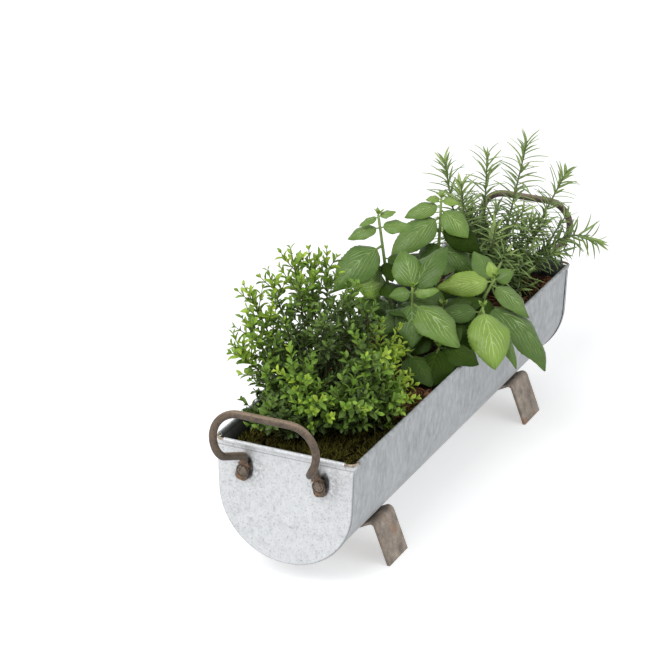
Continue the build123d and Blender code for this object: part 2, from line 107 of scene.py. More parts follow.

# Rosemary: tip of each sprig from the middle of the plug's top, and its middle's bow upwards, in millimetres
rosemary_sprigs = [
    ((34, -32, 154), 0), ((15, 2, 140), 0), ((78, -59, 113), 0), ((94, -89, 37), 26),
    ((6, 44, 130), 0), ((20, -42, 20), 0), ((60, 8, 71), 6), ((47, 43, 88), 4),
    ((-18, -22, 80), 0), ((-15, 17, 117), 0), ((38, -41, 72), 0),
]
ROSEMARY_FAN = 0.3  # how far out a sprig's foot stands, as a share of its tip
ROSEMARY_SHOOTS = 4
ROSEMARY_SHOOT_LIFT = 8 * MM  # of the lowest shoots' tips, above the soil
NEEDLE_LENGTH = 25.0 * MM
NEEDLE_WIDTH = 2.6 * MM
NEEDLE_STEP = 2.9 * MM

# Basil, from the middle of the plug's top, in millimetres and degrees: root, tip, and leaves as
# (height above the soil, heading, rise, length, width, arch, roll, paleness); paleness is partly the leaf's
# own tone, partly painted light and shade
basil_stems = {
    "a": ((-16, 16), (-33, 30, 139), [
        (137, 126, -24, 20, 10, 2, -20, 0.6), (137, -58, 15, 17, 10, 2, 20, 0.7),
        (126, -64, 3, 29, 16, 3, 30, 0.6), (126, 116, -21, 32, 16, 4, -30, 0.55),
        (108, 143, -35, 62, 35, 9, -30, 0.42), (86, 140, -11, 39, 26, 5, -50, 0.55),
        (95, -70, -15, 30, 18, 3, 25, 0.2), (68, 152, 20, 50, 36, 5, -50, 0.75),
        (70, -149, -5, 35, 20, 4, 20, 0.15), (92, -140, -20, 30, 14, 3, 10, 0.05),
        (30, 60, 10, 44, 30, 6, 0, 0.3), (45, 110, 0, 40, 28, 6, 0, 0.35), (60, 75, -5, 38, 26, 5, 0, 0.4),
        (24, 10, 15, 40, 28, 5, 0, 0.25),
    ]),
    "b": ((-26, 0), (-42, -10, 77), [
        (73, 49, 53, 41, 30, 5, -5, 0.52), (72, -28, 42, 54, 37, 6, 15, 0.35),
        (71, -80, 12, 26, 14, 3, 50, 0.7), (72, 134, -4, 23, 14, 2, -45, 0.5),
        (62, -155, -44, 47, 31, 6, 0, 0.35), (59, -100, -30, 62, 44, 9, 20, 0.6),
        (55, 146, -31, 40, 21, 5, -25, 0.3), (40, 173, 29, 47, 26, 4, -10, 0.2),
    ]),
    "c": ((34, -29), (65, -50, 55), [
        (52, 125, -3, 55, 26, 6, -55, 0.96), (52, 73, 44, 35, 26, 3, -25, 0.45),
        (54, 64, 61, 18, 13, 2, -10, 0.95), (53, -55, 22, 21, 16, 2, 45, 0.5),
        (49, -89, -35, 48, 26, 7, 25, 0.5), (31, -92, -38, 89, 40, 18, 10, 0.4),
        (40, -166, -42, 52, 26, 5, 0, 0.12), (12, 20, 50, 48, 36, 5, 0, 0.14),
    ]),
    "d": ((16, -38), (11, -60, 47), [
        (45, -140, -45, 62, 41, 9, 5, 0.8), (40, -104, -46, 63, 15, 11, 15, 0.45),
        (33, 164, -52, 32, 19, 3, -20, 0.2), (41, 123, -2, 42, 20, 4, -40, 0.3),
    ]),
    "e": ((58, 8), (80, 14, 121), [
        (120, 116, -2, 15, 9, 2, -30, 0.8), (119, -69, -9, 18, 10, 2, 30, 0.8),
        (110, -93, -38, 38, 26, 5, 30, 0.6), (96, -77, -32, 48, 28, 6, 40, 0.05),
        (103, 140, -32, 62, 30, 7, -35, 0.5), (114, 123, -17, 37, 17, 4, -35, 0.6),
        (75, -88, -34, 44, 25, 5, 30, 0.3), (79, 146, -37, 30, 20, 3, -30, 0.25),
        (60, -150, 5, 44, 28, 5, -10, 0.3), (15, -30, 45, 50, 36, 5, 0, 0.12),
        (30, 80, 10, 46, 30, 6, 0, 0.3), (45, 65, 5, 40, 28, 6, 0, 0.35), (60, 105, -5, 42, 28, 6, 0, 0.4),
        (88, 70, -12, 34, 22, 5, 0, 0.45), (25, 145, 12, 46, 30, 5, 0, 0.25),
    ]),
    "f": ((-28, -24), (-50, -42, 26), [
        (25, -95, -10, 42, 31, 5, 15, 0.1), (20, -30, 30, 32, 22, 4, 25, 0.15),
        (26, -172, -34, 46, 40, 5, 8, 0.06),
    ]),
    "g": ((-50, -8), (-66, -18, 21), [
        (20, -128, -20, 46, 34, 6, 10, 0.2), (20, 95, 10, 26, 19, 3, -30, 0.25),
        (14, -20, 40, 40, 32, 4, 0, 0.12), (18, 65, 25, 38, 26, 4, 0, 0.2),
    ]),
    "h": ((0, -12), (8, -20, 42), [
        (40, -100, -20, 34, 20, 4, 20, 0.15), (41, -160, -25, 40, 24, 4, 0, 0.15),
        (42, 100, 10, 38, 24, 4, -30, 0.3), (38, -45, 8, 32, 20, 3, 20, 0.2),
        (36, -122, -25, 54, 28, 6, 10, 0.1), (38, -28, -3, 55, 28, 5, 10, 0.14),
        (30, 90, 15, 48, 32, 5, 0, 0.2), (40, 60, 20, 40, 26, 5, 0, 0.3), (34, 135, 18, 44, 30, 5, 0, 0.25),
    ]),
}
BASIL_STEM_RADIUS = 2.1 * MM
BASIL_HALF_THICKNESS = 0.22 * MM
PETIOLE_SHARE = 0.1  # of a leaf's length that is bare stalk
BASIL_VEINS = 5.5  # side veins on each half of a leaf
VEIN_SWEEP = 0.95
VEIN_CURVE = 1.3
BASIL_TEETH = 13
TOOTH_DEPTH = 0.05  # as a share of the leaf's half width
EDGE_DROOP = 0.30
PUCKER_HEIGHT = 0.040  # as a share of the leaf's width, as the next two are
RIB_GROOVE = 0.03
EDGE_WAVE = 0.035
WAVES = 2.4  # along a leaf's edge
BUD_LEAVES = 4
BUD_SIZE = (8 * MM, 4 * MM, 1 * MM)  # length, width and arch of a leaf


# Mesh making

def unit(vector):
    return vector / np.linalg.norm(vector)


def across_axes(axis):
    """Two unit vectors square to axis and to each other."""
    helper = np.array([0.0, 0.0, 1.0]) if abs(axis[2]) < 0.9 else np.array([1.0, 0.0, 0.0])
    first = unit(np.cross(helper, axis))
    return first, np.cross(axis, first)


def bezier(start, control, end, count):
    """Points on a curve from start to end that is drawn towards control."""
    share = np.linspace(0, 1, count)[:, None]
    return (1 - share) ** 2 * start + 2 * share * (1 - share) * control + share ** 2 * end


def outward(axes, angle):
    """The direction at an angle round an axis, from the two vectors square to it."""
    return math.cos(angle) * axes[0] + math.sin(angle) * axes[1]


def leaning(ahead, out, angle):
    """The direction that leans from ahead towards out by an angle."""
    return ahead * math.cos(angle) + out * math.sin(angle)


def distances(path):
    """How far along the path each of its points lies."""
    steps = np.linalg.norm(np.diff(path, axis=0), axis=1)
    return np.concatenate([[0], np.cumsum(steps)])


def value_at(distance, reach, values):
    """A vector given at the distances in reach, read off between them."""
    return np.array([np.interp(distance, reach, values[:, axis]) for axis in range(3)])


def new_object(name, data):
    made = bpy.data.objects.new(name, data)
    bpy.context.scene.collection.objects.link(made)
    return made


class Shape:
    """A mesh in the making. Each point knows how far along and across its leaf it lies, and its paleness."""

    def __init__(self):
        self.points = []
        self.along = []
        self.across = []
        self.pale = []
        self.faces = []
        self.slots = []
        self.count = 0

    def add(self, points, faces, slot, along, across, pale):
        size = len(points)
        self.points.append(points)
        for kept, values in ((self.along, along), (self.across, across), (self.pale, pale)):
            kept.append(np.broadcast_to(np.asarray(values, float), (size,)))
        self.faces.extend([[corner + self.count for corner in face] for face in faces])
        self.slots.extend([slot] * len(faces))
        self.count += size

    def tube(self, path, radii, sides, slot, pale):
        """A closed round tube along a path."""
        path = np.asarray(path)
        radii = np.broadcast_to(np.asarray(radii, float), (len(path),))
        tangents = np.gradient(path, axis=0)
        rings = []
        first = across_axes(unit(tangents[0]))[0]
        turns = np.arange(sides) * 2 * math.pi / sides
        for place, tangent, radius in zip(path, tangents, radii):
            tangent = unit(tangent)
            first = unit(first - tangent * (first @ tangent))
            second = np.cross(tangent, first)
            rings.append(place + radius * (np.cos(turns)[:, None] * first + np.sin(turns)[:, None] * second))
        faces = [tuple(reversed(range(sides))), tuple(range((len(path) - 1) * sides, len(path) * sides))]
        for ring in range(len(path) - 1):
            for side in range(sides):
                after = (side + 1) % sides
                low = ring * sides
                faces.append((low + side, low + after, low + sides + after, low + sides + side))
        along = np.repeat(np.linspace(0, 1, len(path)), sides)
        self.add(np.concatenate(rings), faces, slot, along, 0.0, pale)

    def piece(self, name, body, materials, nodes=()):
        """Makes the object, which moves with its body and stands in for the CAD nodes that are named."""
        mesh = bpy.data.meshes.new(name)
        mesh.from_pydata(np.concatenate(self.points).tolist(), [], self.faces)
        for material in materials:
            mesh.materials.append(material)
        mesh.polygons.foreach_set("material_index", self.slots)
        for title, values in (("along", self.along), ("across", self.across), ("pale", self.pale)):
            layer = mesh.attributes.new(title, "FLOAT", "POINT")
            layer.data.foreach_set("value", np.concatenate(values).astype(np.float32))
        mesh.shade_smooth()
        made = new_object(name, mesh)
        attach(made, body)
        if nodes:
            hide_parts(*nodes)


def grid_faces(rows, columns):
    """Faces of a thin closed sheet: an upper grid, the lower grid after it, and a strip round the edges."""
    lower = rows * columns
    faces = []
    for row in range(rows - 1):
        for column in range(columns - 1):
            corner = row * columns + column
            quad = (corner, corner + columns, corner + columns + 1, corner + 1)
            faces.append(quad)
            faces.append(tuple(lower + place for place in reversed(quad)))
    edge = [(0, column) for column in range(columns - 1)]
    edge += [(row, columns - 1) for row in range(rows - 1)]
    edge += [(rows - 1, column) for column in range(columns - 1, 0, -1)]
    edge += [(row, 0) for row in range(rows - 1, 0, -1)]
    ring = [row * columns + column for row, column in edge]
    for place, after in zip(ring, ring[1:] + ring[:1]):
        faces.append((place, after, lower + after, lower + place))
    return faces


# Materials

class Paint:
    """A material on one Principled shader, with short calls for the nodes that feed it."""

    def __init__(self, name, roughness=0.5, metallic=0.0, specular=0.5):
        self.material = bpy.data.materials.new(name)
        self.material.use_nodes = True
        self.tree = self.material.node_tree
        self.shader = self.tree.nodes["Principled BSDF"]
        self.shader.inputs["Roughness"].default_value = roughness
        self.shader.inputs["Metallic"].default_value = metallic
        self.shader.inputs["Specular IOR Level"].default_value = specular

    def node(self, kind):
        return self.tree.nodes.new(f"ShaderNode{kind}")

    def put(self, socket, value):
        if isinstance(value, bpy.types.NodeSocket):
            self.tree.links.new(value, socket)
        else:
            socket.default_value = value

    def set(self, name, value):
        self.put(self.shader.inputs[name], value)

    def place(self, stretch=(1, 1, 1)):
        """Position on the object, stretched along its axes."""
        source = self.node("TexCoord")
        mapping = self.node("Mapping")
        mapping.inputs["Scale"].default_value = stretch
        self.tree.links.new(source.outputs["Object"], mapping.inputs["Vector"])
        return mapping.outputs["Vector"]

    def noise(self, scale, detail=2.0, stretch=(1, 1, 1), roughness=0.5):
        made = self.node("TexNoise")
        self.put(made.inputs["Vector"], self.place(stretch))
        made.inputs["Scale"].default_value = scale
        made.inputs["Detail"].default_value = detail
        made.inputs["Roughness"].default_value = roughness
        return made.outputs["Fac"]

    def cells(self, scale, stretch=(1, 1, 1)):
        """A random value for each cell of a crystal pattern."""
        made = self.node("TexVoronoi")
        self.put(made.inputs["Vector"], self.place(stretch))
        made.inputs["Scale"].default_value = scale
        split = self.node("SeparateColor")
        self.tree.links.new(made.outputs["Color"], split.inputs["Color"])
        return split.outputs["Red"]

    def part_of(self, output, axis):
        """One axis of a vector that tells of the surface: its place or its normal on the object."""
        source = self.node("TexCoord")
        split = self.node("SeparateXYZ")
        self.tree.links.new(source.outputs[output], split.inputs["Vector"])
        return split.outputs[axis]

    def inside(self):
        """1 on faces that look towards the planter's upright middle line, 0 on those that look away."""
        shares = [self.times(self.part_of("Normal", axis), self.part_of("Object", axis)) for axis in "XY"]
        return self.span(self.math("ADD", *shares), -0.03, -0.01, 1.0, 0.0)

    def attribute(self, name):
        made = self.node("Attribute")
        made.attribute_name = name
        return made.outputs["Fac"]

    def math(self, operation, first, second=0.0):
        made = self.node("Math")
        made.operation = operation
        self.put(made.inputs[0], first)
        self.put(made.inputs[1], second)
        return made.outputs["Value"]

    def times(self, first, second):
        return self.math("MULTIPLY", first, second)

    def span(self, value, low, high, start=0.0, stop=1.0):
        """value from low to high, eased to run from start to stop."""
        made = self.node("MapRange")
        made.interpolation_type = "SMOOTHSTEP"
        for name, number in (("From Min", low), ("From Max", high), ("To Min", start), ("To Max", stop)):
            made.inputs[name].default_value = number
        self.put(made.inputs["Value"], value)
        return made.outputs["Result"]

    def ramp(self, value, *stops):
        made = self.node("ValToRGB")
        elements = made.color_ramp.elements
        while len(elements) < len(stops):
            elements.new(0.5)
        for element, (position, colour) in zip(elements, stops):
            element.position = position
            element.color = (*colour, 1.0)
        self.put(made.inputs["Fac"], value)
        return made.outputs["Color"]

    def mix(self, share, first, second, how="MIX"):
        made = self.node("Mix")
        made.data_type = "RGBA"
        made.blend_type = how
        self.put(made.inputs["Factor"], share)
        for socket, value in ((made.inputs[6], first), (made.inputs[7], second)):
            self.put(socket, (*value, 1.0) if isinstance(value, tuple) else value)
        return made.outputs[2]

    def bump(self, height, distance, strength=1.0):
        made = self.node("Bump")
        made.inputs["Strength"].default_value = strength
        made.inputs["Distance"].default_value = distance
        self.put(made.inputs["Height"], height)
        self.set("Normal", made.outputs["Normal"])

    def nearness(self, points, reach, full=0.0, stretch=(1, 1, 1)):
        """1 as far as full from any of the points, falling to 0 at the distance reach."""
        total = None
        for point in points:
            made = self.node("VectorMath")
            made.operation = "DISTANCE"
            self.put(made.inputs[0], self.place(stretch))
            made.inputs[1].default_value = [value * scale for value, scale in zip(point, stretch)]
            near = self.span(made.outputs["Value"], full, reach, 1.0, 0.0)
            total = near if total is None else self.math("MAXIMUM", total, near)
        return total


def scaled(colour, factor):
    return tuple(factor * channel for channel in colour)


def zinc_streaks(paint):
    return paint.noise(240, 5.0, stretch=(1, 1, 0.4), roughness=0.6)


def zinc_wall_colour(paint, streaks):
    """Blue-grey zinc with short upright streaks and soft spangle, and a painted shadow line under the rolled
    rim.
    """
    spangle = paint.ramp(paint.cells(150, (1, 1, 0.6)), (0.0, (0.32, 0.34, 0.355)), (1.0, (0.42, 0.44, 0.45)))
    lines = paint.ramp(streaks, (0.34, (0.19, 0.21, 0.225)), (0.66, (0.55, 0.565, 0.575)))
    colour = paint.mix(0.6, spangle, lines)
    cloud = paint.span(paint.noise(28, 3.0), 0.35, 0.7, 0.0, 0.25)
    colour = paint.mix(cloud, colour, (0.48, 0.495, 0.505))
    height = paint.part_of("Object", "Z")
    # painted shadow: a dark line on the wall just under the rolled rim
    rim_shadow = paint.times(
        paint.span(height, rim_top - 5.4 * MM, rim_top - 4.2 * MM),
        paint.span(height, rim_top - 4.0 * MM, rim_top - 3.4 * MM, 0.65, 0.0),
    )
    return paint.mix(rim_shadow, colour, (0.10, 0.11, 0.12))


def painted_inside_shade(paint, colour):
    """Painted shade on the inside of the trough, darkest towards the soil."""
    depth = paint.span(paint.part_of("Object", "Z"), soil_top - 4 * MM, rim_top, 0.9, 0.35)
    return paint.mix(paint.times(paint.inside(), depth), colour, (0.035, 0.036, 0.034))


def galvanised_plate(grime_and_shadow_spots):
    """Pale zinc with a close mottle; painted shadow and grime beside the handle tabs, a painted shadow line
    under the hem and painted shade along the bend.
    """
    paint = Paint("galvanised_plate", roughness=0.48, metallic=0.35)
    mottle = paint.ramp(
        paint.noise(170, 8.0, roughness=0.74),
        (0.34, (0.40, 0.41, 0.42)), (0.48, (0.58, 0.59, 0.60)), (0.66, (0.69, 0.70, 0.715)),
    )
    flecks = paint.ramp(
        paint.noise(460, 5.0, roughness=0.75), (0.37, (0.20, 0.21, 0.22)), (0.46, (0.64, 0.65, 0.66))
    )
    colour = paint.mix(0.5, mottle, flecks)
    # painted shadow with some grime: near black beside each handle tab, in a wider grey halo of both
    grime_and_shade_noise = paint.span(paint.noise(240), 0.3, 0.6, 0.8, 1.0)
    tab_grime_and_shadow = paint.times(paint.nearness(grime_and_shadow_spots, 5.2 * MM, 3.4 * MM, (1, 1, 0.4)), grime_and_shade_noise)
    grime_and_shade_halo = paint.times(
        paint.nearness(grime_and_shadow_spots, 22 * MM, 6 * MM), paint.span(paint.noise(330, 4.0), 0.42, 0.6, 0.6, 0.0)
    )
    colour = paint.mix(grime_and_shade_halo, colour, (0.25, 0.25, 0.26))
    colour = paint.mix(tab_grime_and_shadow, colour, (0.018, 0.015, 0.015))
    height = paint.part_of("Object", "Z")
    hem = rim_top - HEM_HEIGHT
    # painted shadow: a dark line just under the hem
    hem_shadow = paint.times(
        paint.span(height, hem - 1.8 * MM, hem - 0.4 * MM), paint.span(height, hem - 0.2 * MM, hem, 0.6, 0.0)
    )
    colour = paint.mix(hem_shadow, colour, (0.14, 0.14, 0.14))
    facing = paint.math("ABSOLUTE", paint.part_of("Normal", "X"))
    plain = paint.span(height, hem - 2 * MM, hem - 1 * MM, 1.0, 0.0)
    flange = paint.times(paint.span(facing, 0.35, 0.8, 1.0, 0.0), plain)
    colour = paint.mix(flange, colour, zinc_wall_colour(paint, zinc_streaks(paint)))
    # painted shade along the bend between the plate's face and its flange
    bend = paint.times(paint.span(facing, 0.1, 0.5), paint.span(facing, 0.7, 0.97, 0.6, 0.0))
    colour = paint.mix(paint.times(bend, plain), colour, (0.15, 0.16, 0.17))
    # the inside faces darkened with painted shade
    paint.set("Base Color", painted_inside_shade(paint, colour))
    paint.set("Roughness", paint.span(mottle, 0.4, 0.7, 0.58, 0.44))
    paint.bump(paint.noise(300, 2.0), 0.0001)
    return paint.material


def galvanised_wall():
    paint = Paint("galvanised_wall", roughness=0.45, metallic=0.4)
    streaks = zinc_streaks(paint)
    # the inside faces darkened with painted shade
    paint.set("Base Color", painted_inside_shade(paint, zinc_wall_colour(paint, streaks)))
    paint.set("Roughness", paint.span(streaks, 0.3, 0.7, 0.40, 0.55))
    paint.bump(streaks, 0.0004)
    return paint.material


def rusted_steel(name, dark, light, rust, rust_share, pitting, grain=140, rivets=()):
    """Hot-rolled steel gone brown: worn light patches, fresh rust, pits, and a dark ring round any rivets;
    with rivets, also a painted highlight along the top and painted shade underneath.
    """
    paint = Paint(name, roughness=0.5, metallic=0.3)
    scale = paint.noise(grain, 5.0, roughness=0.62)
    colour = paint.ramp(scale, (0.32, dark), (0.68, light))
    rust_noise = paint.noise(0.6 * grain, 4.0)
    pits = paint.span(paint.noise(560, 2.0), 0.36, 0.46, 1.0, 0.0)
    if rivets:
        # painted highlight on faces looking up and painted shade on faces looking down
        upward = paint.part_of("Normal", "Z")
        colour = paint.mix(paint.span(upward, 0.5, 0.85, 0.0, 0.7), colour, scaled(light, 1.9))
        colour = paint.mix(paint.span(upward, -1.0, 0.1, 0.65, 0.0), colour, scaled(dark, 0.45))
        worn = paint.nearness(rivets, 16 * MM, 11 * MM)
        rust_noise = paint.math("ADD", rust_noise, paint.times(worn, 0.12))
        pitting = paint.span(worn, 0.0, 1.0, pitting, 0.8)
    blooms = paint.span(rust_noise, 0.62 - rust_share, 0.75 - rust_share, 0.0, 0.7)
    colour = paint.mix(blooms, colour, rust)
    share = paint.times(pits, pitting)
    colour = paint.mix(share, colour, scaled(dark, 0.3))
    if rivets:
        ring = paint.nearness(rivets, 6.4 * MM, 5.2 * MM)
        colour = paint.mix(ring, colour, scaled(dark, 0.15))
    paint.set("Base Color", colour)
    paint.set("Roughness", paint.span(scale, 0.3, 0.7, 0.45, 0.65))
    paint.bump(paint.math("SUBTRACT", scale, share), 0.0003)
    return paint.material


def soil(name, dark, light, scale, sides=()):
    """Crumbly ground; sides holds the dark and light colour of the upright faces, where they differ."""
    paint = Paint(name, roughness=0.9, specular=0.1)
    crumbs = paint.noise(scale, 4.0, roughness=0.65)
    colour = paint.ramp(crumbs, (0.35, dark), (0.7, light))
    if sides:
        upward = paint.span(paint.part_of("Normal", "Z"), 0.2, 0.7)
        colour = paint.mix(upward, paint.ramp(crumbs, (0.35, sides[0]), (0.7, sides[1])), colour)
    paint.set("Base Color", colour)
    paint.bump(crumbs, 0.002)
    return paint.material


def strand(name, dark, light):
    """Moss, fibre or stalk: coloured by its paleness and mottled."""
    paint = Paint(name, roughness=0.75, specular=0.15)
    mottle = paint.noise(500, 2.0)
    share = paint.math("ADD", paint.times(paint.attribute("pale"), 0.6), paint.times(mottle, 0.4))
    paint.set("Base Color", paint.ramp(share, (0.2, dark), (0.8, light)))
    paint.bump(mottle, 0.0002)
    return paint.material


def basil_green():
    """A glossy leaf with pale midrib and side veins that sweep towards the tip, brightened in part as painted
    highlight, with a painted sheen down the middle and a whitish painted sheen on the veins of the paler
    leaves.
    """
    paint = Paint("basil_leaf", roughness=0.45)
    pale = paint.attribute("pale")
    paint.set("Specular IOR Level", paint.span(pale, 0.0, 0.5, 0.03, 0.36))
    along = paint.attribute("along")
    aside = paint.math("ABSOLUTE", paint.attribute("across"))
    body = paint.ramp(
        pale, (0.0, (0.018, 0.035, 0.003)), (0.2, (0.042, 0.085, 0.010)),
        (0.4, (0.088, 0.165, 0.027)), (0.7, (0.170, 0.285, 0.046)), (1.0, (0.300, 0.445, 0.070)),
    )
    mottle = paint.noise(130, 3.0)
    shades = paint.ramp(mottle, (0.3, (0.80, 0.84, 0.80)), (0.72, (1.0, 1.0, 1.0)))
    body = paint.mix(1.0, body, shades, "MULTIPLY")
    swept = paint.times(paint.math("POWER", aside, VEIN_CURVE), VEIN_SWEEP)
    phase = paint.times(paint.math("SUBTRACT", along, swept), BASIL_VEINS)
    phase = paint.math("ADD", phase, paint.span(paint.noise(60), 0.3, 0.7, -0.18, 0.18))
    edge = paint.math("ABSOLUTE", paint.math("SUBTRACT", paint.math("FRACT", phase), 0.5))
    fading = paint.times(paint.span(aside, 0.3, 0.95, 1.0, 0.0), paint.span(along, 0.4, 0.95, 1.0, 0.25))
    side_veins = paint.times(paint.span(edge, 0.33, 0.47), fading)
    midrib = paint.span(aside, 0.015, 0.05, 0.7, 0.0)
    veins = paint.math("MAXIMUM", side_veins, midrib)
    # the veins' own paleness, brightened in patches as painted highlight
    vein_glint = paint.times(veins, paint.span(paint.noise(70), 0.35, 0.6, 0.35, 1.0))
    lighter = paint.mix(1.0, body, (2.1, 1.8, 2.4), "MULTIPLY")
    # painted sheen, lighter down the middle of the leaf
    body = paint.mix(paint.span(aside, 0.0, 0.85, 0.16, 0.0), body, lighter)
    # a whitish painted sheen on the veins of the paler leaves
    lighter = paint.mix(paint.span(pale, 0.15, 0.5, 0.0, 0.34), lighter, (0.62, 0.74, 0.50))
    paint.set("Base Color", paint.mix(vein_glint, body, lighter))
    paint.set("Roughness", paint.span(mottle, 0.3, 0.7, 0.36, 0.48))
    paint.bump(paint.math("ADD", paint.noise(420, 2.0), paint.times(veins, -1.0)), 0.0005, 0.7)
    return paint.material


def small_leaf(name, stops, rib):
    """Thyme leaf or rosemary needle: coloured by its paleness, with a lighter middle rib."""
    paint = Paint(name, roughness=0.5, specular=0.4)
    body = paint.ramp(paint.attribute("pale"), *stops)
    mottle = paint.noise(400, 2.0)
    shades = paint.ramp(mottle, (0.3, (0.72, 0.76, 0.72)), (0.7, (1.0, 1.0, 1.0)))
    body = paint.mix(1.0, body, shades, "MULTIPLY")
    midrib = paint.span(paint.math("ABSOLUTE", paint.attribute("across")), 0.1, 0.3, 0.25, 0.0)
    paint.set("Base Color", paint.mix(midrib, body, rib))
    paint.bump(mottle, 0.0002)
    return paint.material


# Where the handles' rivets sit, and where painted shadow and grime lie beside the tabs
SHADOW_SPOT_ASIDE = 5.2 * MM
SHADOW_SPOT_ABOVE = 3 * MM
handle_rivet_points = []
tab_grime_and_shadow_spots = []
for end, outer_x in (("near", -plate_x), ("far", plate_x)):
    low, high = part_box(f"handle_rivets_{end}")
    rivet_radius = (high.z - low.z) / 2
    for rivet_y in (low.y + rivet_radius, high.y - rivet_radius):
        handle_rivet_points.append((outer_x, rivet_y, low.z + rivet_radius))
        tab_grime_and_shadow_spots.append((outer_x, rivet_y - SHADOW_SPOT_ASIDE, low.z + rivet_radius + SHADOW_SPOT_ABOVE))

zinc_plate = galvanised_plate(tab_grime_and_shadow_spots)
zinc_wall = galvanised_wall()
handle_steel = rusted_steel(
    "handle_steel", dark=(0.055, 0.038, 0.026), light=(0.155, 0.113, 0.078), rust=(0.23, 0.12, 0.06),
    rust_share=0.0, pitting=0.3, rivets=handle_rivet_points,
)
strap_steel = rusted_steel(
    "strap_steel", dark=(0.16, 0.128, 0.10), light=(0.46, 0.385, 0.315), rust=(0.33, 0.18, 0.10),
    rust_share=0.08, pitting=0.2, grain=95,
)
rivet_steel = rusted_steel(
    "rivet_steel", dark=(0.08, 0.056, 0.042), light=(0.27, 0.21, 0.16), rust=(0.22, 0.115, 0.06),
    rust_share=0.02, pitting=0.7,
)
wire_steel = rusted_steel(
    "wire_steel", dark=(0.20, 0.145, 0.10), light=(0.50, 0.43, 0.34), rust=(0.30, 0.16, 0.08),
    rust_share=0.04, pitting=0.4,
)
MOSS_DARK = (0.005, 0.004, 0.001)
MOSS_LIGHT = (0.05, 0.042, 0.006)
COMPOST_DARK = (0.008, 0.006, 0.004)
compost = soil("compost", COMPOST_DARK, (0.05, 0.033, 0.02), 320)
moss_ground = soil("moss_ground", MOSS_DARK, MOSS_LIGHT, 260)
mossy_plug = soil("mossy_plug", MOSS_DARK, MOSS_LIGHT, 260, sides=(COMPOST_DARK, (0.06, 0.038, 0.022)))
coir_ground = soil("coir_ground", (0.006, 0.003, 0.002), (0.09, 0.04, 0.02), 260)
moss_blade = strand("moss_blade", (0.008, 0.008, 0.001), (0.14, 0.125, 0.015))
coir_fibre = strand("coir_fibre", (0.04, 0.016, 0.008), (0.33, 0.15, 0.075))
woody_stalk = strand("woody_stalk", (0.04, 0.04, 0.012), (0.14, 0.17, 0.05))
rosemary_stalk = strand("rosemary_stalk", (0.08, 0.10, 0.04), (0.24, 0.29, 0.13))
green_stalk = strand("green_stalk", (0.05, 0.085, 0.02), (0.32, 0.45, 0.13))
basil_leaf_paint = basil_green()
thyme_leaf_paint = small_leaf(
    "thyme_leaf",
    [
        (0.0, (0.012, 0.018, 0.005)), (0.3, (0.070, 0.125, 0.018)),
        (0.65, (0.20, 0.36, 0.03)), (1.0, (0.42, 0.56, 0.045)),
    ],
    (0.30, 0.44, 0.10),
)
needle_paint = small_leaf(
    "rosemary_needle",
    [(0.0, (0.065, 0.105, 0.035)), (0.5, (0.215, 0.325, 0.10)), (1.0, (0.42, 0.54, 0.16))],
    (0.44, 0.54, 0.28),
)


def paint_node(name, material):
    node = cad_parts[name]
    node.data.materials.clear()
    node.data.materials.append(material)


for end in ("near", "far"):
    paint_node(f"end_plate_{end}", zinc_plate)
    paint_node(f"handle_{end}", handle_steel)
    paint_node(f"handle_rivets_{end}", rivet_steel)
    paint_node(f"leg_strap_{end}", strap_steel)
    paint_node(f"leg_rivets_{end}", rivet_steel)
paint_node("trough_shell", zinc_wall)
paint_node("rim_wire", wire_steel)


# Basil

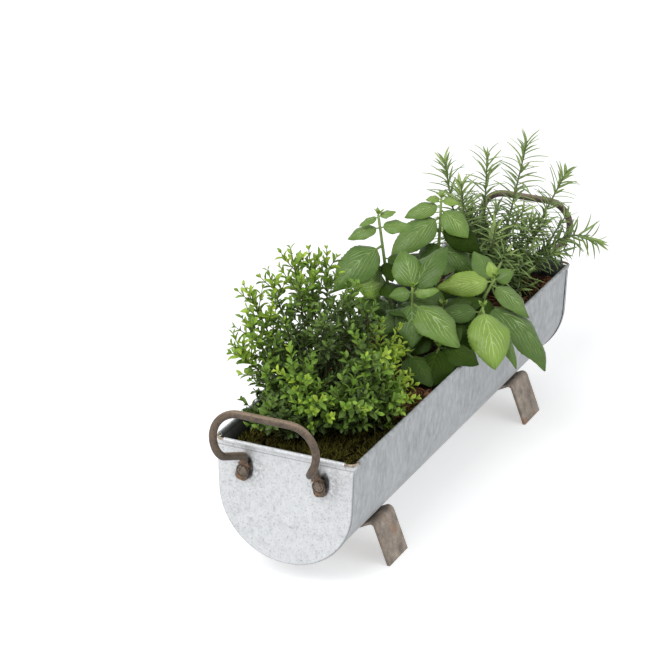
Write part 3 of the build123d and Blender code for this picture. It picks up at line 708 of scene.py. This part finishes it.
def basil_leaf(shape, base, heading, rise, length, width, arch, roll, pale):
    """One puckered leaf on its stalk: arched along its length, drooping at the edges, with toothed sides."""
    rows, columns = 40, 19
    turn, lift = math.radians(heading), math.radians(rise)
    ahead = np.array([math.cos(lift) * math.cos(turn), math.cos(lift) * math.sin(turn), math.sin(lift)])
    level = np.array([-math.sin(turn), math.cos(turn), 0.0])
    tilt = math.radians(roll)
    side = level * math.cos(tilt) + np.cross(ahead, level) * math.sin(tilt)
    up = np.cross(ahead, side)

    def spine(share):
        """Points of the leaf's middle line, from the stem to the tip."""
        return base + np.outer(share, ahead) * length + np.outer(4 * share * (1 - share), up) * arch

    share = np.linspace(PETIOLE_SHARE, 1, rows)
    blade = (share - PETIOLE_SHARE) / (1 - PETIOLE_SHARE)
    line = spine(share)
    tangent = np.gradient(line, axis=0)
    tangent /= np.linalg.norm(tangent, axis=1)[:, None]
    normal = np.cross(tangent, side)
    outline = np.sin(math.pi * blade ** 0.74).clip(0) ** 0.62 * (1 - 0.3 * blade ** 7)
    half = width / 2 * np.maximum(outline, 0.03)
    across = np.linspace(-1, 1, columns)
    v = across[None, :]
    s = blade[:, None]
    notches = np.abs((s * BASIL_TEETH) % 1 - 0.5) * 2 - 0.5
    teeth = 1 + TOOTH_DEPTH * notches * np.abs(v) ** 6 * (s > 0.12)
    phase = BASIL_VEINS * (s - VEIN_SWEEP * np.abs(v) ** VEIN_CURVE)
    swell = np.abs(np.sin(math.pi * phase)) ** 0.6 * (1 - v ** 2) * np.sin(math.pi * s) ** 0.5
    wave = np.sin(2 * math.pi * WAVES * s + random.uniform(0, ANY_TURN)) * np.abs(v) ** 3
    height = (
        -EDGE_DROOP * half[:, None] * v ** 2
        + PUCKER_HEIGHT * width * swell
        - RIB_GROOVE * width * np.exp(-((v / 0.1) ** 2))
        + EDGE_WAVE * width * wave
    )
    twist = random.uniform(-0.25, 0.25) * s + random.uniform(-0.15, 0.15)
    offset = half[:, None] * v * teeth
    points = (
        line[:, None, :]
        + (offset * np.cos(twist))[..., None] * side
        + (offset * np.sin(twist) + height)[..., None] * normal[:, None, :]
    )
    thickness = BASIL_HALF_THICKNESS * (1 - 0.8 * v ** 2)[..., None] * normal[:, None, :]
    sheet = np.concatenate([(points + thickness).reshape(-1, 3), (points - thickness).reshape(-1, 3)])
    along = np.tile(np.repeat(blade, columns), 2)
    beside = np.tile(np.tile(across, rows), 2)
    shape.add(sheet, grid_faces(rows, columns), BLADE, along, beside, pale)
    rings = 7
    stalk = spine(np.linspace(0, PETIOLE_SHARE + 0.12, rings))
    stalk -= up * 0.025 * width * np.linspace(0, 1, rings)[:, None]
    shape.tube(stalk, np.linspace(0.03, 0.012, rings) * width + 0.3 * MM, 6, STALK, 0.3 + 0.5 * pale)


def basil_shoot(name, root, tip, leaves):
    """A stem of basil with its leaves, and small leaves as a bud at its tip."""
    shape = Shape()
    middle = root_of("basil")
    foot = middle + np.array([*root, 0]) * MM
    top = middle + np.array(tip) * MM
    run = top - foot
    rings, sides = 14, 8
    path = bezier(foot - np.array([0, 0, STEM_SINK]), (foot + top) / 2, top, rings)
    radii = np.linspace(1.0, 0.6, rings) * BASIL_STEM_RADIUS
    shape.tube(path, radii, sides, STALK, np.linspace(0.0, 0.75, rings).repeat(sides))
    for height, heading, rise, length, width, arch, roll, pale in leaves:
        base = foot + run * (height * MM / run[2])
        basil_leaf(shape, base, heading, rise, length * MM, width * MM, arch * MM, roll, pale)
    bud_turn = random.uniform(0, 360)
    for bud in range(BUD_LEAVES):
        basil_leaf(shape, top, bud_turn + 90 * bud, 55 - 10 * (bud // 2), *BUD_SIZE, roll=0, pale=0.9)
    shape.piece(
        f"basil_shoot_{name}", "basil", [basil_leaf_paint, green_stalk], [f"basil_stem_{name}"]
    )


for name, (root, tip, leaves) in basil_stems.items():
    basil_shoot(name, root, tip, leaves)


# Small leaves of the thyme and the rosemary are placed copies of a few templates

def leaf_template(rows, columns, belly, fold, bend, thickness):
    """A leaf of unit length and width along X: folded along its rib and bent down towards the tip."""
    s = np.linspace(0, 1, rows)
    across = np.linspace(-1, 1, columns)
    outline = np.maximum(np.sin(math.pi * s ** (math.log(0.5) / math.log(belly))).clip(0) ** 0.8, 0.06)
    y = 0.5 * outline[:, None] * across[None, :]
    z = fold * np.abs(y) - bend * s[:, None] ** 2
    x = np.broadcast_to(s[:, None], y.shape)
    upper = np.stack([x, y, z], -1).reshape(-1, 3)
    lower = upper - np.array([0, 0, thickness])
    return (
        np.concatenate([upper, lower]), grid_faces(rows, columns),
        np.tile(np.repeat(s, columns), 2), np.tile(np.tile(across, rows), 2),
    )


def put_leaf(shape, template, base, ahead, up, length, width, pale):
    """A copy of a template, from its base along ahead, with its upper side towards up."""
    points, faces, along, across = template
    ahead = unit(ahead)
    side = unit(np.cross(up, ahead))
    above = np.cross(ahead, side)
    x, y, z = points[:, :1], points[:, 1:2], points[:, 2:]
    placed = base + x * length * ahead + y * width * side + z * length * above
    shape.add(placed, faces, BLADE, along, across, pale)


thyme_templates = [
    leaf_template(6, 5, belly=0.6, fold=0.25, bend=bend, thickness=0.03) for bend in (0.05, 0.18, 0.32)
]
needle_templates = [
    leaf_template(8, 3, belly=0.4, fold=0.01, bend=bend, thickness=0.025) for bend in (0.10, 0.28, 0.45)
]
thyme_root = root_of("thyme")


def leafy_twig(shape, path, spacing, radius, shine, leaf_width):
    """A thyme twig: crossed pairs of leaves, smaller towards the tip, with painted light on the leaves
    outside in the bush and painted shade on those within.
    """
    reach = distances(path)
    shape.tube(path, np.linspace(1, 0.55, len(path)) * radius, 5, STALK, 0.6)
    ahead = unit(path[-1] - path[-2])
    axes = across_axes(ahead)
    count = max(2, int(reach[-1] / spacing))
    turn = random.uniform(0, math.pi)
    for pair in range(count + 1):
        base = value_at(reach[-1] * (pair + 0.6) / (count + 0.6), reach, path)
        share = pair / count
        outside = min(1.1, np.linalg.norm((base - thyme_root) / THYME_REACH))
        for side in (0, math.pi):
            out = outward(axes, turn + pair * math.pi / 2 + side + random.normal(0, 0.25))
            lean = math.radians(random.uniform(42, 66) - 26 * share)
            direction = leaning(ahead, out, lean)
            size = THYME_LEAF * (1 - 0.4 * share ** 2) * random.uniform(0.8, 1.15)
            # painted light on the outer leaves of the bush and painted shade on the inner ones, scaled by the
            # sprig's shine
            pale = 0.05 + shine * (0.78 * outside ** 2.3 * random.uniform(0.55, 1.15) + 0.15 * share)
            pale += random.normal(0, 0.06)
            put_leaf(
                shape, thyme_templates[random.integers(3)], base, direction, ahead + random.normal(0, 0.2, 3),
                size, leaf_width * size, float(np.clip(pale, 0, 1)),
            )


def thyme_branch(shape, number, tip, shine):
    """One branch of thyme from the soil, with leafy twigs along it and bare below."""
    top = thyme_root + np.array(tip) * MM
    foot = thyme_root + np.array([tip[0] * THYME_FAN * MM, tip[1] * THYME_FAN * MM, -STEM_SINK])
    run = top - foot
    length = np.linalg.norm(run)
    count, bare = 16, 10
    path = bezier(foot, (foot + top) / 2 + np.array([0, 0, 0.08 * length]), top, count)
    tall = tip[2] > THYME_TALL
    leaf_width = TALL_LEAF_WIDTH if tall else LOW_LEAF_WIDTH
    taper = TALL_TWIG_TAPER if tall else LOW_TWIG_TAPER
    leafy_twig(shape, path[bare - 1:], 6.0 * MM, 0.8 * MM, shine, leaf_width)
    shape.tube(path[:bare], np.linspace(1.2, 0.8, bare) * MM, 6, STALK, 0.3)
    ahead = unit(run)
    axes = across_axes(ahead)
    for twig in range(THYME_TWIGS):
        share = 0.2 + 0.7 * twig / (THYME_TWIGS - 1)
        fork = path[int(round(share * (count - 1)))]
        out = outward(axes, GOLDEN * (twig + 3 * number))
        heading = leaning(ahead, out, math.radians(random.uniform(32, 52)))
        size = random.uniform(22, 40) * MM * (1 - taper * share)
        end = fork + heading * size + np.array([0, 0, 0.2 * size])
        end[2] = max(end[2], soil_top + THYME_TWIG_LIFT)
        twig_path = bezier(fork, fork + heading * size * 0.5, end, 6)
        leafy_twig(shape, twig_path, 5.4 * MM, 0.55 * MM, shine, leaf_width)


def thyme_spray(number, tip, shine):
    """One sprig of thyme, with its second branch where it has one."""
    shape = Shape()
    thyme_branch(shape, number, tip, shine)
    if number in thyme_forks:
        thyme_branch(shape, number, *thyme_forks[number])
    shape.piece(
        f"thyme_spray_{number:02d}", "thyme", [thyme_leaf_paint, woody_stalk],
        [f"thyme_sprig_{number:02d}"],
    )


for number, (tip, shine) in enumerate(zip(thyme_tips, thyme_shine), start=1):
    thyme_spray(number, tip, shine)


def needled_shoot(shape, path, length, first_share, pale):
    """A rosemary shoot: needles in crossed pairs, arching back, shorter and upright at the tip."""
    reach = distances(path)
    shape.tube(path, np.linspace(1.3, 0.7, len(path)) * MM, 6, STALK, 0.4)
    tangents = np.gradient(path, axis=0)
    at = first_share * reach[-1]
    turn = random.uniform(0, ANY_TURN)
    while at <= reach[-1]:
        share = at / reach[-1]
        base = value_at(at, reach, path)
        ahead = unit(value_at(at, reach, tangents))
        axes = across_axes(ahead)
        turn += math.pi / 2 + random.normal(0, 0.25)
        for side in (0, math.pi):
            out = outward(axes, turn + side + random.normal(0, 0.2))
            lean = math.radians(np.interp(share, (0, 0.75, 1), (68, 56, 24)) + random.normal(0, 8))
            direction = leaning(ahead, out, lean)
            fullness = np.interp(share, (0, 0.4, 0.85, 1), (0.8, 1.0, 0.95, 0.6))
            size = length * fullness * random.uniform(0.8, 1.12)
            shade = pale + 0.4 * share ** 2 + random.normal(0, 0.12)
            put_leaf(
                shape, needle_templates[random.integers(3)], base, direction, ahead, size, NEEDLE_WIDTH,
                float(np.clip(shade, 0, 1)),
            )
        at += NEEDLE_STEP


def rosemary_whip(number, tip, bow):
    """A whip of rosemary with short side shoots in its lower part."""
    shape = Shape()
    root = root_of("rosemary")
    top = root + np.array(tip) * MM
    foot = root + np.array([tip[0] * ROSEMARY_FAN * MM, tip[1] * ROSEMARY_FAN * MM, -STEM_SINK])
    control = (foot + top) / 2 + np.array([0, 0, 2 * bow * MM])
    path = bezier(foot, control, top, 24)
    needled_shoot(shape, path, NEEDLE_LENGTH, first_share=0.22, pale=0.45)
    ahead = unit(top - foot)
    axes = across_axes(ahead)
    for shoot in range(ROSEMARY_SHOOTS):
        fork = path[3 + 2 * shoot]
        out = outward(axes, GOLDEN * (shoot + 2 * number))
        end = fork + (ahead * 0.85 + out * 0.5) * random.uniform(26, 40) * MM
        end[2] = max(end[2], soil_top + ROSEMARY_SHOOT_LIFT)
        side_path = bezier(fork, fork + (ahead * 0.3 + out * 0.4) * 18 * MM, end, 8)
        needled_shoot(shape, side_path, 0.75 * NEEDLE_LENGTH, first_share=0.2, pale=0.4)
    shape.piece(
        f"rosemary_whip_{number:02d}", "rosemary", [needle_paint, rosemary_stalk],
        [f"rosemary_sprig_{number:02d}"],
    )


for number, (tip, bow) in enumerate(rosemary_sprigs, start=1):
    rosemary_whip(number, tip, bow)


# Soil, moss and coir

def crumbled(node, name, body, material, slot, voxel, depth, grain):
    """A crumbly copy of a soil solid: its surface is worn in by up to depth and never grows."""
    made = new_object(name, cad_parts[node].data.copy())
    made.data.materials.clear()
    made.data.materials.append(material)
    remesh = made.modifiers.new("even_mesh", "REMESH")
    remesh.mode = "VOXEL"
    remesh.voxel_size = voxel
    clods = bpy.data.textures.new(name, "CLOUDS")
    clods.noise_scale = grain
    worn = made.modifiers.new("crumbs", "DISPLACE")
    worn.texture = clods
    worn.texture_coords = "LOCAL"
    worn.mid_level = 1.0
    worn.strength = depth
    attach(made, body)
    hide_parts(node)


# Node, name of the copy, body, material and slot, then voxel, depth and grain in millimetres
crumbled_solids = [
    ("growing_medium", "compost_bed", "trough", compost, "potting_medium", 4, 2, 6),
    ("moss_mat", "moss_bed", "trough", moss_ground, "moss", 2, 3, 9),
    ("coir_mat", "coir_bed", "trough", coir_ground, "coir", 2.2, 3, 9),
    ("thyme_root_plug", "thyme_root_ball", "thyme", mossy_plug, "potting_medium", 2.2, 2.5, 8),
    ("basil_root_plug", "basil_root_ball", "basil", compost, "potting_medium", 2.2, 2.5, 8),
    ("rosemary_root_plug", "rosemary_root_ball", "rosemary", coir_ground, "potting_medium", 2.2, 2.5, 8),
]
for *looks, voxel, depth, grain in crumbled_solids:
    crumbled(*looks, voxel * MM, depth * MM, grain * MM)

MAT_EDGE = 4 * MM  # kept free of moss and fibres
STRAND_SINK = 2.5 * MM  # of each strand's foot, below the soil's top
WALL_GAP = 2 * MM  # between fibres and the trough's long walls
ON_PLUG_MARGIN = -2 * MM
OFF_PLUG_MARGIN = 3 * MM
rosemary_low, rosemary_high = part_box("rosemary_root_plug")
basil_low, basil_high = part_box("basil_root_plug")


def inner_area(low, high):
    """Two corners of a mat's top, kept off its edges."""
    return (low.x + MAT_EDGE, low.y + MAT_EDGE), (high.x - MAT_EDGE, high.y - MAT_EDGE)


def in_plug(x, y, margin):
    """True where a point of the soil lies on one of the root plugs, grown by the margin."""
    for herb in ("thyme", "basil", "rosemary"):
        low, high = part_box(f"{herb}_root_plug")
        if low.x - margin < x < high.x + margin and low.y - margin < y < high.y + margin:
            return True
    return False


def scatter(count, low, high, on_plug):
    """Places on the soil between two corners: either only on the root plugs or only off them."""
    places = []
    while len(places) < count:
        x = random.uniform(low[0], high[0])
        y = random.uniform(low[1], high[1])
        if in_plug(x, y, ON_PLUG_MARGIN if on_plug else OFF_PLUG_MARGIN) == on_plug:
            places.append(np.array([x, y, soil_top - STRAND_SINK]))
    return places


def moss_tuft(name, body, places):
    """Three short blades of moss at each place."""
    shape = Shape()
    for place in places:
        for _ in range(3):
            lean = random.normal(0, 0.45, 2)
            tip = place + np.array([lean[0], lean[1], 1.0]) * random.uniform(3.5, 6.5) * MM
            middle = (place + tip) / 2 + np.array([0, 0, 0.5 * MM])
            pale = float(np.clip(random.normal(0.45, 0.22), 0, 1))
            shape.tube([place, middle, tip], [0.6 * MM, 0.5 * MM, 0.12 * MM], 4, BLADE, pale)
    shape.piece(name, body, [moss_blade])


def fibre_litter(name, body, places):
    """A bowed coir fibre at each place, with painted shade where it lies under the basil."""
    shape = Shape()
    for place in places:
        turn = random.uniform(0, ANY_TURN)
        length = random.uniform(5, 15) * MM
        run = np.array([math.cos(turn), math.sin(turn), 0.0]) * length
        lift = random.uniform(1.5, 4) * MM
        start, end = place - run / 2, place + run / 2 + np.array([0, 0, random.uniform(0, 3) * MM])
        for point in (start, end):
            point[1] = np.clip(point[1], -inside_y + WALL_GAP, inside_y - WALL_GAP)
        path = bezier(start, place + np.array([0, 0, 2 * lift]), end, 7)
        width = random.uniform(0.35, 1.0) * MM
        # painted shade on the fibres under the basil
        shaded = basil_low.x + 10 * MM < place[0] < basil_high.x
        pale = float(np.clip(random.normal(0.1 if shaded else 0.6, 0.2), 0, 1))
        shape.tube(path, np.array([0.3, 0.8, 1, 1, 1, 0.8, 0.3]) * width, 5, BLADE, pale)
    shape.piece(name, body, [coir_fibre])


moss_area = inner_area(*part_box("moss_mat"))
coir_area = inner_area(*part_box("coir_mat"))
loose_area = ((-130 * MM, -inside_y + 8 * MM), (-62 * MM, -36 * MM))
moss_tuft("moss_tufts", "trough", scatter(700, *moss_area, on_plug=False))
moss_tuft("thyme_moss", "thyme", scatter(700, *moss_area, on_plug=True))
fibre_litter("coir_fibres", "trough", scatter(420, *coir_area, on_plug=False))
fibre_litter("loose_fibres", "trough", scatter(90, *loose_area, on_plug=False))
fibre_litter("rosemary_coir", "rosemary", scatter(160, rosemary_low[:2], rosemary_high[:2], on_plug=True))
fibre_litter("basil_coir", "basil", scatter(170, basil_low[:2], basil_high[:2], on_plug=True))


# Floor, light and camera

FLOOR_REACH = 30.0
FLOOR_GREY = (0.82, 0.82, 0.82, 1)
FLOOR_GLOW = 0.47  # what the floor adds in view, to reach white
AMBIENT_COLOUR = (0.96, 0.98, 1.0, 1)
AMBIENT_STRENGTH = 0.55
LIGHT_TARGET = Vector((0, 0, 0.1))


def seen_plainly(nodes, links):
    """1 for rays from the camera, from a reflection or through something clear, else 0."""
    lights = nodes.new("ShaderNodeLightPath")
    total = lights.outputs["Is Camera Ray"]
    for name in ("Is Glossy Ray", "Is Transmission Ray"):
        either = nodes.new("ShaderNodeMath")
        either.operation = "MAXIMUM"
        links.new(total, either.inputs[0])
        links.new(lights.outputs[name], either.inputs[1])
        total = either.outputs["Value"]
    return total


def make_floor():
    """A pale floor that goes to white in view and keeps the object's shadow."""
    corners = [(FLOOR_REACH * x, FLOOR_REACH * y, 0) for x, y in ((-1, -1), (1, -1), (1, 1), (-1, 1))]
    mesh = bpy.data.meshes.new("floor")
    mesh.from_pydata(corners, [], [(0, 1, 2, 3)])
    floor = new_object("floor", mesh)
    material = bpy.data.materials.new("floor")
    material.use_nodes = True
    nodes, links = material.node_tree.nodes, material.node_tree.links
    nodes.remove(nodes["Principled BSDF"])
    diffuse = nodes.new("ShaderNodeBsdfDiffuse")
    diffuse.inputs["Color"].default_value = FLOOR_GREY
    glow = nodes.new("ShaderNodeEmission")
    share = nodes.new("ShaderNodeMath")
    share.operation = "MULTIPLY"
    share.inputs[1].default_value = FLOOR_GLOW
    links.new(seen_plainly(nodes, links), share.inputs[0])
    links.new(share.outputs["Value"], glow.inputs["Strength"])
    total = nodes.new("ShaderNodeAddShader")
    links.new(diffuse.outputs["BSDF"], total.inputs[0])
    links.new(glow.outputs["Emission"], total.inputs[1])
    links.new(total.outputs["Shader"], nodes["Material Output"].inputs["Surface"])
    mesh.materials.append(material)


def make_world():
    """Even studio light, with plain white where the camera or a reflection looks past the object."""
    world = bpy.data.worlds.new("studio")
    bpy.context.scene.world = world
    world.use_nodes = True
    nodes, links = world.node_tree.nodes, world.node_tree.links
    ambient = nodes["Background"]
    ambient.inputs["Color"].default_value = AMBIENT_COLOUR
    ambient.inputs["Strength"].default_value = AMBIENT_STRENGTH
    white = nodes.new("ShaderNodeBackground")
    white.inputs["Color"].default_value = (1, 1, 1, 1)
    choose = nodes.new("ShaderNodeMixShader")
    links.new(seen_plainly(nodes, links), choose.inputs["Fac"])
    links.new(ambient.outputs["Background"], choose.inputs[1])
    links.new(white.outputs["Background"], choose.inputs[2])
    links.new(choose.outputs["Shader"], nodes["World Output"].inputs["Surface"])


def area_light(name, place, power, size):
    data = bpy.data.lights.new(name, "AREA")
    data.energy = power
    data.size = size
    light = new_object(name, data)
    light.location = place
    light.rotation_mode = "QUATERNION"
    light.rotation_quaternion = (LIGHT_TARGET - Vector(place)).to_track_quat("-Z", "Y")


def make_camera():
    azimuth, elevation, roll = (math.radians(a) for a in (CAMERA_AZIMUTH, CAMERA_ELEVATION, CAMERA_ROLL))
    level = math.cos(elevation)
    back = Vector((math.sin(azimuth) * level, -math.cos(azimuth) * level, math.sin(elevation)))
    right = (-back).cross(Vector((0, 0, 1))).normalized()
    up = right.cross(-back)
    x_axis = right * math.cos(roll) + up * math.sin(roll)
    y_axis = up * math.cos(roll) - right * math.sin(roll)
    data = bpy.data.cameras.new("camera")
    data.sensor_width = SENSOR
    data.lens = FOCAL_PIXELS / IMAGE_SIZE * SENSOR
    data.clip_end = 100
    camera = new_object("camera", data)
    turned = Matrix((x_axis, y_axis, back)).transposed().to_4x4()
    camera.matrix_world = Matrix.Translation(CAMERA_TARGET + back * CAMERA_DISTANCE) @ turned
    bpy.context.scene.camera = camera


make_floor()
make_world()
area_light("key", (-1.9, 0.35, 1.9), power=42, size=1.5)
area_light("fill", (-0.3, -2.2, 1.6), power=12, size=1.8)
make_camera()
bpy.context.scene.view_settings.view_transform = "Standard"
